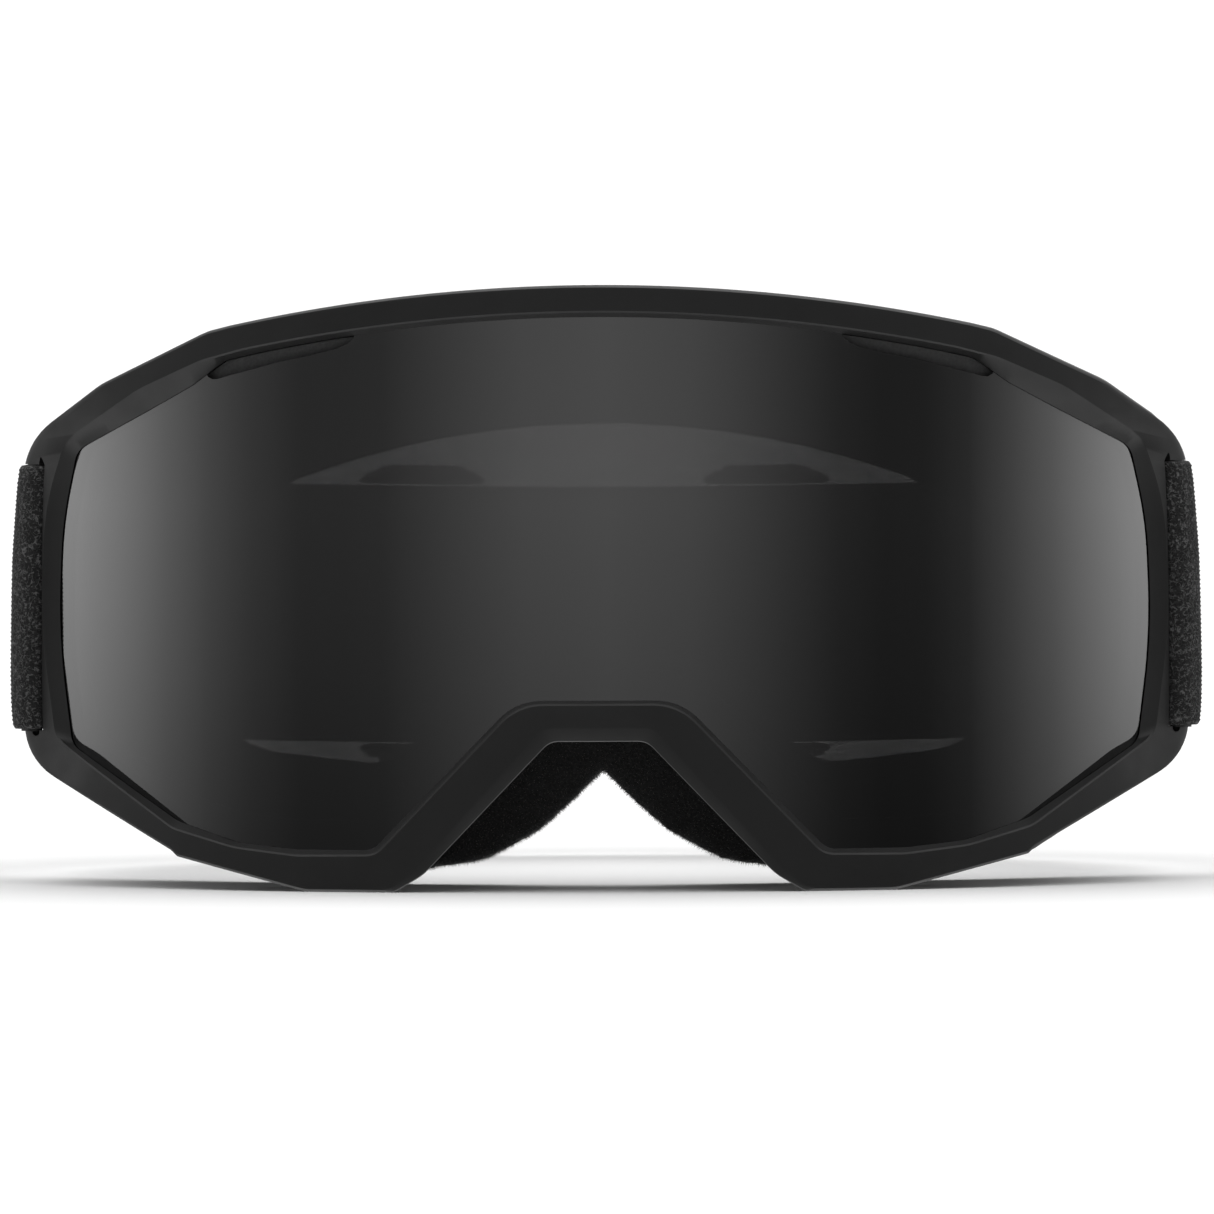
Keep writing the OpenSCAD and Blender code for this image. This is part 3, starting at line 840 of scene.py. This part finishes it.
# The small hole in which each slot runs out beyond the elastic: (height, inner x, outer x) levels.
# It starts in front of the rim; the lower one goes through the wing and the upper one is blind.
LOW_END = [(23.8, 86.1, 87.2), (23.1, 86.1, 87.2), (22.8, 86.25, 87.05), (22.65, 86.5, 86.8)]
HIGH_END = [(63.7, 85, 85.95), (64.2, 85.15, 85.9), (65, 85.55, 85.75)]
END_FROM = 40
LOW_END_TO = 47.4
HIGH_END_TO = 45.4


def slot_end(side, levels, deep):
    rings = []
    for z, a, b in levels:
        plan = (a, END_FROM), (a, deep), (b, deep), (b, END_FROM)
        rings.append([at(side * x, y, z) for x, y in plan])
    return mesh_object("slot_end", *skin(rings, closed=False))


def strap_bar(side):
    turn = math.radians(BAR_ANGLE)
    steps = 10
    plan = []
    for centre, start in ((BAR_OUTBOARD, turn - math.pi / 2), (BAR_INBOARD, turn + math.pi / 2)):
        for i in range(steps + 1):
            t = start + math.pi * i / steps
            plan.append(centre + Vector((math.cos(t), math.sin(t))) * BAR_R)
    return leaning_prism("bar", side, plan, STRAP_Z - SLOT_HALF - 0.15, STRAP_Z + SLOT_HALF + 0.15)


def make_frame():
    obj = mesh_object("goggle_frame", *skin(frame_rings()))
    combine(obj, cutters(), "DIFFERENCE")
    for side in (-1, 1):
        combine(obj, strap_slot(side), "DIFFERENCE")
        combine(obj, slot_end(side, LOW_END, LOW_END_TO), "DIFFERENCE")
        combine(obj, slot_end(side, HIGH_END, HIGH_END_TO), "DIFFERENCE")
        combine(obj, strap_bar(side), "UNION")
    shade(obj, 30)
    finish_piece(obj, "frame", "frame_tpu", frame_material(), "frame")


# ---- Lenses ----

def edge_heights(loop, x):
    """Lowest and highest crossing of an outline with the vertical line at x."""
    heights = []
    for p, q in zip(loop, loop[1:] + loop[:1]):
        if (p.x - x) * (q.x - x) <= 0 and p.x != q.x:
            heights.append(p.y + (q.y - p.y) * (x - p.x) / (q.x - p.x))
    return min(heights), max(heights)


# The notch in the outer lens's top edge, on both sides: its lower edge from the middle outwards
NOTCH = [(36.4, 84.6), (36.9, 83.6), (37.8, 82.7), (39.5, 81.9), (44, 80.8), (48.4, 79.9),
         (52.3, 78.8), (56.2, 77.75), (57.7, 77.3), (58.6, 77.2), (59.3, 77.6), (60.5, 79), (62, 90)]


def notch_height(x):
    x = abs(x)
    for (x0, z0), (x1, z1) in zip(NOTCH, NOTCH[1:]):
        if x0 <= x <= x1:
            return z0 + (z1 - z0) * (x - x0) / (x1 - x0)
    return 1000


def make_lens(name, half, radii, x_limit, notched, slot, look):
    loop = whole(half)
    reach = min(x_limit, max(p.x for p in loop) - 0.05)
    xs = [i * 1.0 for i in range(int(reach) + 1)] + [reach]
    if notched:
        xs += [x for x, _ in NOTCH] + [x + 0.5 for x, _ in NOTCH[3:8]]
    xs = sorted(set(xs))
    xs = [-x for x in reversed(xs) if x > 0] + xs
    rows = 30
    rings = []
    for x in xs:
        low, high = edge_heights(loop, max(-reach, min(reach, x)))
        if notched:
            high = min(high, notch_height(x))
        front, back = (rim_y(x, r) for r in reversed(radii))
        zs = [low + (high - low) * i / rows for i in range(rows + 1)]
        rings.append([at(x, front, z) for z in zs] + [at(x, back, z) for z in reversed(zs)])
    obj = mesh_object(name, *skin(rings, closed=False))
    finish_piece(obj, "frame", slot, look, slot.replace("lens_", "") + "_lens")


def make_lenses():
    lip = inset(OPENING, -2.2)
    mirror = outer_lens_material()
    make_lens("mirror_lens", lip, OUTER_LENS_R, LENS_SIDE_X, True, "lens_outer", mirror)
    clear = inset(OPENING, 1.4)
    make_lens("clear_lens", clear, INNER_LENS_R, 1000, False, "lens_inner", inner_lens_material())
    outer, inner = inset(OPENING, 0.15), inset(OPENING, 4.4)
    front, back = on_rim(OUTER_LENS_R[0] - 0.05), on_rim(INNER_LENS_R[1] + 0.05)
    section = [
        ring(outer, back, GASKET_X), ring(outer, front, GASKET_X),
        ring(inner, front), ring(inner, back),
    ]
    gasket = mesh_object("lens_spacer", *skin(section), sharp=30)
    finish_piece(gasket, "frame", "gasket", gasket_material(), "lens_gasket")


# ---- Foams ----

def soft_copy(name, node, voxel, rounding, grain_size, grain_depth):
    """A soft piece grown from its CAD solid: remeshed, rounded at its edges and roughened."""
    mesh = frame["nodes"][node].data.copy()
    obj = bpy.data.objects.new(name, mesh)
    bpy.context.scene.collection.objects.link(obj)
    weld = obj.modifiers.new("weld", "WELD")
    weld.merge_threshold = 1e-6
    remesh = obj.modifiers.new("remesh", "REMESH")
    remesh.mode = "VOXEL"
    remesh.voxel_size = voxel * MM
    soften = obj.modifiers.new("soften", "SMOOTH")
    soften.factor = 0.5
    soften.iterations = rounding
    apply_modifiers(obj)
    roughen(obj, grain_size, grain_depth)
    obj.data.shade_smooth()
    return obj


def roughen(obj, size, depth):
    """Moves each point along its normal by smooth noise of the given size and depth."""
    normals = [v.normal.copy() for v in obj.data.vertices]
    for vertex, normal in zip(obj.data.vertices, normals):
        coarse = noise.noise(vertex.co / (size * MM))
        fine = noise.noise(vertex.co / (size * 0.35 * MM))
        vertex.co += normal * (coarse + 0.5 * fine) * depth * MM


VENT_FOAMS = (
    "vent_foam_top", "vent_foam_upper_left", "vent_foam_upper_right", "vent_foam_lower_left",
    "vent_foam_lower_right", "vent_foam_bottom_left", "vent_foam_bottom_right",
)


def make_vent_foams():
    look = foam_material("vent_foam", cell=0.9, dark=0.006, light=0.03)
    for node in VENT_FOAMS:
        obj = soft_copy(
            node + "_pad", node, voxel=0.8, rounding=2, grain_size=1.8, grain_depth=0.12
        )
        finish_piece(obj, "frame", "vent_foam", look, node)


def make_face_foam():
    obj = soft_copy(
        "face_foam_pad", "face_foam_base", voxel=0.75, rounding=2, grain_size=2.0, grain_depth=0.22
    )
    look = foam_material("face_foam", cell=0.5, dark=0.004, light=0.014)
    finish_piece(obj, "frame", "face_foam", look, "face_foam_base")
    return obj


def between(outer, inner, share):
    return [a.lerp(b, share) for a, b in zip(outer, inner)]


def lining_rings():
    """The fleece lining: square where it is glued to the foam, crowned where it meets the face."""
    outer = whole(inset(FOAM, 0.1))
    inner = whole(inset(FACE, -1.1))
    thick = LINING_R[1] - LINING_R[0]
    section = [
        (0.0, 0.0), (0.0, 0.4), (0.01, 0.68), (0.05, 0.88), (0.13, 0.97), (0.25, 1.0), (0.4, 1.0),
        (0.55, 1.0), (0.7, 1.0), (0.82, 0.98), (0.91, 0.9), (0.97, 0.72), (1.0, 0.42), (1.0, 0.0),
    ]
    rings = []
    for share, height in section:
        flat = between(outer, inner, share)
        r = LINING_R[1] - height * thick
        rings.append([at(p.x, face_y(p.x, r), p.y) for p in flat])
    return rings


def make_lining():
    obj = mesh_object("fleece_lining", *skin(lining_rings()), sharp=60)
    subdivide = obj.modifiers.new("subdivide", "SUBSURF")
    subdivide.levels = 1
    subdivide.render_levels = 1
    apply_modifiers(obj)
    roughen(obj, 2.6, 0.22)
    obj.data.shade_smooth()
    finish_piece(obj, "frame", "fleece", fleece_material(), "face_foam_lining")
    return obj


def spike(root, direction, length, width, points, faces):
    """One fibre: a thin closed pyramid on three sides."""
    side = direction.orthogonal().normalized() * width
    turn = Matrix.Rotation(math.tau / 3, 3, direction)
    first = len(points)
    for _ in range(3):
        points.append(root + side)
        side = turn @ side
    points.append(root + direction * length)
    faces += [(first, first + 1, first + 3), (first + 1, first + 2, first + 3)]
    faces += [(first + 2, first, first + 3), (first + 2, first + 1, first)]


# Short fibres: where the nose is (metres), then their gap to the floor, their root's depth and size
NOSE_HALF = 0.036
NOSE_TOP = 0.027
FIBRE_CLEAR = 0.2
FIBRE_ROOT = 0.1
FIBRE_R = 0.035


def make_pile(name, pad, nose_density, density, longest, look):
    """Short fibres over a pad, thickest at the nose; densities are per square millimetre."""
    draw = random.Random(7)
    points = []
    faces = []
    for face in pad.data.polygons:
        centre = face.center
        at_nose = abs(centre.x) < NOSE_HALF and centre.z < NOSE_TOP
        wanted = face.area / MM ** 2 * (nose_density if at_nose else density)
        for _ in range(int(wanted + draw.random())):
            corners = [pad.data.vertices[i].co for i in face.vertices]
            a, b = draw.random(), draw.random()
            root = corners[0].lerp(corners[1], a).lerp(corners[-1].lerp(corners[-2], a), b)
            lean_by = Vector((draw.gauss(0, 0.5), draw.gauss(0, 0.5), draw.gauss(0, 0.5)))
            direction = (face.normal + lean_by).normalized()
            length = draw.uniform(0.4, 1) * longest * MM
            if (root + direction * length).z > FIBRE_CLEAR * MM:
                base = root - face.normal * FIBRE_ROOT * MM
                spike(base, direction, length, FIBRE_R * MM, points, faces)
    obj = mesh_object(name, points, faces, sharp=180)
    finish_piece(obj, "frame", "fleece", look)


# ---- Strap ----

def hang(x, y, z, share=1.0):
    """A point of the strap in its own frame, z from its middle, hung down behind the swing line."""
    tilt = TILT * share
    back = y - SWING_Y
    return at(
        x,
        SWING_Y + back * math.cos(tilt) + z * math.sin(tilt),
        STRAP_Z - back * math.sin(tilt) + z * math.cos(tilt),
    )


def round_head(r, degrees):
    """A point in plan round the head, from the back's middle towards +X."""
    t = math.radians(degrees)
    return Vector((r * math.sin(t), HEAD_Y + r * math.cos(t)))


def turn_about(centre, r, start, end, steps):
    angles = [math.radians(start + (end - start) * i / steps) for i in range(steps + 1)]
    return [centre + Vector((math.cos(t), math.sin(t))) * r for t in angles]


def half_strap():
    """Plan of the elastic's right half: from the return ply's end, round the bar, to the back."""
    inner_end = BAR_INBOARD + Vector((-PLY_OFFSET, 0))
    outer_start = BAR_OUTBOARD + Vector((PLY_OFFSET, 0))
    inner_merge = Vector((INNER_PLY_R, MERGE_Y))
    outer_merge = Vector((OUTER_PLY_R, MERGE_Y))
    back_arc = [round_head(INNER_PLY_R, RETURN_END + (90 - RETURN_END) * i / 30) for i in range(31)]
    plan = back_arc
    plan += corner(Vector((INNER_PLY_R, HEAD_Y)), inner_merge, inner_end, 60)
    plan += turn_about(BAR_INBOARD, PLY_OFFSET, 180, 270 + BAR_ANGLE, 18)
    plan += turn_about(BAR_OUTBOARD, PLY_OFFSET, BAR_ANGLE - 90, 0, 8)
    plan += corner(outer_start, outer_merge, Vector((OUTER_PLY_R, HEAD_Y)), 60)
    return plan + [round_head(OUTER_PLY_R, 90 - 90 * i / 60) for i in range(61)]


def spaced(plan, fine_before, fine, coarse):
    """Walks a plan with fine steps in front of a depth, and coarse ones behind it."""
    walked = resampled(plan, [i / 6000 for i in range(6001)])
    kept = [walked[0]]
    gone = 0.0
    for a, b in zip(walked, walked[1:]):
        gone += (b - a).length
        if gone >= (fine if b.y < fine_before else coarse):
            kept.append(b)
            gone = 0.0
    kept[-1] = walked[-1]
    return kept


def elastic(name, plan, width, tilt_share):
    """Ribbed elastic along a plan: ribs run its length on both faces, and its edges are rounded."""
    rib_count = int(width / RIB_PITCH)
    rings = []
    for i, p in enumerate(plan):
        along = (plan[min(i + 1, len(plan) - 1)] - plan[max(i - 1, 0)]).normalized()
        out = Vector((along.y, -along.x))
        loop = []
        for side, count in ((1, rib_count * OUTER_PER_RIB), (-1, rib_count * INNER_PER_RIB)):
            for k in range(count + 1):
                share = k / count
                z = (share - 0.5) * width * side
                phase = math.cos(math.tau * share * rib_count)
                beat = 0.3 * math.cos(math.pi * (i + int(share * rib_count)))
                edge = min(1, (width / 2 - abs(z)) / (0.5 * STRAP_T))
                height = STRAP_T / 2 - 0.11 + RIB_HEIGHT * phase + BEAT_HEIGHT * beat * (1 + phase)
                height *= math.sqrt(max(0.12, 1 - (1 - edge) ** 2))
                q = p + out * side * height
                leaning = 1 - smooth_step((q.y - LEAN_FROM) / (LEAN_TO - LEAN_FROM))
                shift = lean(STRAP_Z + z) * leaning * (1 if q.x > 0 else -1)
                loop.append(hang(q.x + shift, q.y, z, tilt_share(q.y)))
        rings.append(loop)
    return mesh_object(name, *skin(rings, closed=False), sharp=75)


def hang_share(y):
    return smooth_step((y - BEND_FROM) / (BEND_TO - BEND_FROM))


def make_strap(look):
    right = half_strap()
    plan = right + [Vector((-p.x, p.y)) for p in reversed(right[:-1])]
    plan = spaced(plan, FINE_BEFORE_Y, FINE_STEP, COARSE_STEP)
    obj = elastic("strap_elastic", plan, STRAP_W, hang_share)
    nodes = (
        "strap_wrap_left", "strap_wrap_right", "strap_band",
        "strap_return_left", "strap_return_right",
    )
    finish_piece(obj, None, "elastic", look, *nodes)
    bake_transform(obj)


def make_tab(side, sign, look):
    """The elastic's sewn end, which lies inside the return ply and slides with its slider."""
    start = SLIDER_ANGLES[side] - sign * BAR_HALF_ANGLE
    end = SLIDER_ANGLES[side] + sign * TAB_LEN
    plan = [round_head(TAB_R, start + (end - start) * i / 60) for i in range(61)]
    obj = elastic("strap_tab_" + side, plan, TAB_W, lambda y: 1.0)
    finish_piece(obj, "slider_" + side, "elastic", look, "slider_tab_" + side)


# ---- Sliders ----

def slider_point(angle, r, z):
    p = round_head(r, angle)
    return hang(p.x, p.y, z)


def rounded_rectangle(x_low, x_high, y_low, y_high, r, steps=4):
    corners = ((x_high - r, y_high - r, 0), (x_low + r, y_high - r, 90),
               (x_low + r, y_low + r, 180), (x_high - r, y_low + r, 270))
    points = []
    for x, y, start in corners:
        for i in range(steps + 1):
            t = math.radians(start + 90 * i / steps)
            points.append((x + r * math.cos(t), y + r * math.sin(t)))
    return points


def rail_top(offset):
    """Height of a rail's edge, with rounded finger bumps, at an angle from the slider's middle."""
    reach = math.radians(1) * SLIDER_R[1]
    top = RAIL_Z[1]
    for i in range(BUMP_COUNT):
        away = offset * reach - (i - (BUMP_COUNT - 1) / 2) * BUMP_PITCH
        if abs(away) < BUMP_R:
            top = max(top, RAIL_Z[1] + 0.9 - BUMP_R + math.sqrt(BUMP_R ** 2 - away ** 2))
    from_end = (SLIDER_HALF - abs(offset)) * reach
    if from_end < RAIL_END_R:
        top -= RAIL_END_R - math.sqrt(RAIL_END_R ** 2 - (RAIL_END_R - from_end) ** 2)
    return max(top, RAIL_Z[0] + 1.15)


def slider_rail(angle, sign):
    steps = 96
    rings = []
    for i in range(steps + 1):
        offset = SLIDER_HALF * (2 * i / steps - 1)
        shrink = 0.5 * max(0, abs(offset) / SLIDER_HALF - 0.94) / 0.06
        low, high = RAIL_Z[0] + shrink * 0.6, rail_top(offset) - shrink * 0.6
        section = rounded_rectangle(SLIDER_R[0] + shrink, SLIDER_R[1] - shrink, low, high, 0.55)
        rings.append([slider_point(angle + offset, r, sign * z) for r, z in section])
    return mesh_object("rail", *skin(rings, closed=False), sharp=50)


def slider_bar(angle, r_low, r_high):
    section = rounded_rectangle(-BAR_HALF_ANGLE, BAR_HALF_ANGLE, 0, 1, 0.28)
    rings = []
    for z in (-RAIL_Z[0] - 0.7, 0, RAIL_Z[0] + 0.7):
        rings.append([slider_point(angle + a, r_low + (r_high - r_low) * t, z) for a, t in section])
    return mesh_object("bar", *skin(rings, closed=False), sharp=50)


def make_slider(side, look):
    angle = SLIDER_ANGLES[side]
    reach = SLIDER_HALF - BAR_HALF_ANGLE - 0.2
    obj = slider_rail(angle, 1)
    obj.name = "slider_" + side + "_body"
    combine(obj, slider_rail(angle, -1), "UNION")
    combine(obj, slider_bar(angle - reach, SLIDER_R[1] - 1.4, SLIDER_R[1] - 0.2), "UNION")
    combine(obj, slider_bar(angle + reach, SLIDER_R[1] - 1.4, SLIDER_R[1] - 0.2), "UNION")
    combine(obj, slider_bar(angle, TAB_R + STRAP_T / 2, OUTER_PLY_R - STRAP_T / 2 - 0.3), "UNION")
    shade(obj, 45)
    finish_piece(obj, "slider_" + side, "slider_plastic", look, "slider_" + side)


def capsule(start, end, r, points, faces):
    """A round-ended stitch from start to end."""
    along = (end - start).normalized()
    across = along.orthogonal().normalized()
    sides = 8
    profile = [(0.0, 0.25), (0.12, 0.75), (0.3, 1.0), (0.7, 1.0), (0.88, 0.75), (1.0, 0.25)]
    rings = []
    for share, width in profile:
        centre = start.lerp(end, share)
        turns = [Matrix.Rotation(math.tau * k / sides, 3, along) @ across for k in range(sides)]
        rings.append([centre + t * r * width for t in turns])
    new_points, new_faces = skin(rings, closed=False)
    first = len(points)
    points += new_points
    faces += [tuple(first + i for i in face) for face in new_faces]


def make_stitching(side, sign, look):
    points = []
    faces = []
    r = TAB_R - STRAP_T / 2 + 0.02
    for row in STITCH_ROWS:
        angle = SLIDER_ANGLES[side] + sign * row
        for i in range(STITCHES):
            z = (i - (STITCHES - 1) / 2) * STITCH_PITCH
            start = slider_point(angle, r, z - STITCH_HALF)
            end = slider_point(angle, r, z + STITCH_HALF)
            capsule(start, end, STITCH_R * MM, points, faces)
    obj = mesh_object("stitching_" + side, points, faces, sharp=60)
    finish_piece(obj, "slider_" + side, "thread", look, "tab_stitching_" + side)


# ---- The scene ----

add_camera()
add_world()
add_floor()
make_frame()
make_lenses()
make_vent_foams()
foam = make_face_foam()
lining = make_lining()
pile = pile_material()
make_pile("foam_fuzz", foam, nose_density=6, density=0, longest=0.9, look=pile)
make_pile("fleece_pile", lining, nose_density=9, density=1.3, longest=0.85, look=pile)
knit = elastic_material()
plastic = slider_material()
thread = thread_material()
make_strap(knit)
for side, sign in (("left", -1), ("right", 1)):
    make_slider(side, plastic)
    make_tab(side, sign, knit)
    make_stitching(side, sign, thread)
